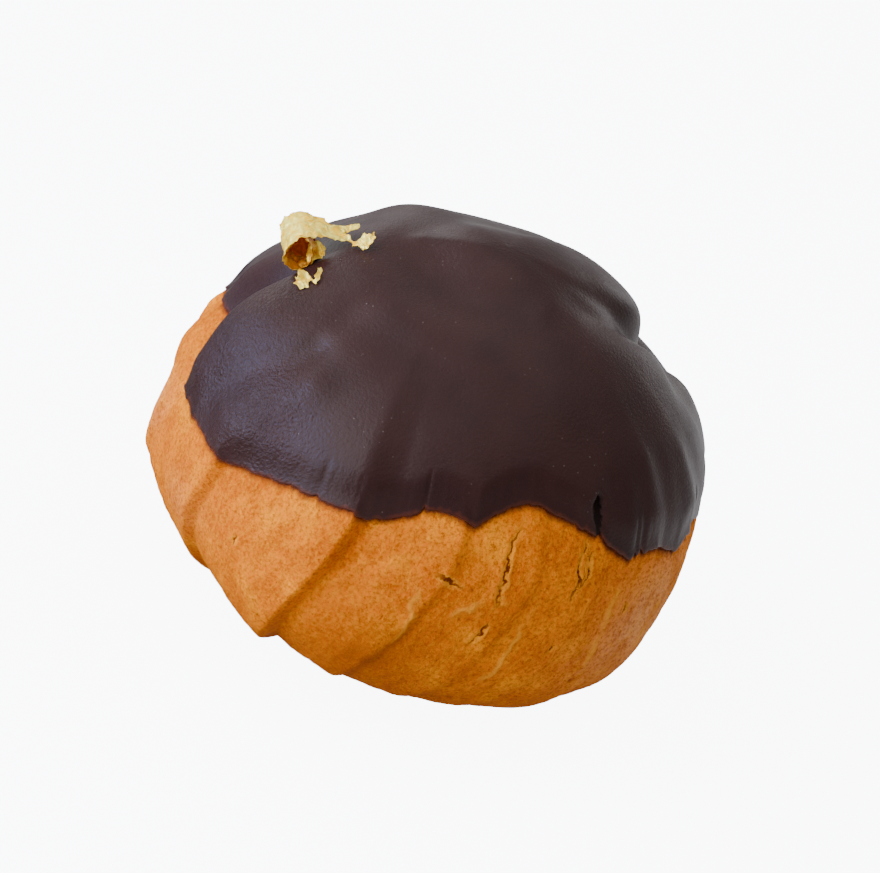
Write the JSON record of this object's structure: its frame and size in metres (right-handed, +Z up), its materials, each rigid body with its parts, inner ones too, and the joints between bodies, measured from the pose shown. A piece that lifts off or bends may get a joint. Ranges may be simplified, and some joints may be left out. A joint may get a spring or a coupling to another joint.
{
  "type": "chocolate-dipped cream puff",
  "caption": "Round fluted choux bun dipped in dark chocolate, with a crumpled flake of gold leaf on its crown; a filled pastry that sits on its flat underside.",
  "frame": {"origin": "middle of the flat underside, on the surface that the puff rests on", "axes": "+Z up through the crown, -Y towards the side shown in front, +X to its right"},
  "size_m": [0.0574, 0.0587, 0.0461],
  "materials": {
    "choux": "golden baked choux crust with faint sheen",
    "chocolate": "set dark chocolate, satin",
    "gold_leaf": "crumpled bright leaf"
  },
  "bodies": {
    "root": {"choux_bun": "choux", "chocolate_coating": "chocolate", "gold_leaf": "gold_leaf", "gold_leaf_fragment": "gold_leaf"}
  },
  "joints": []
}
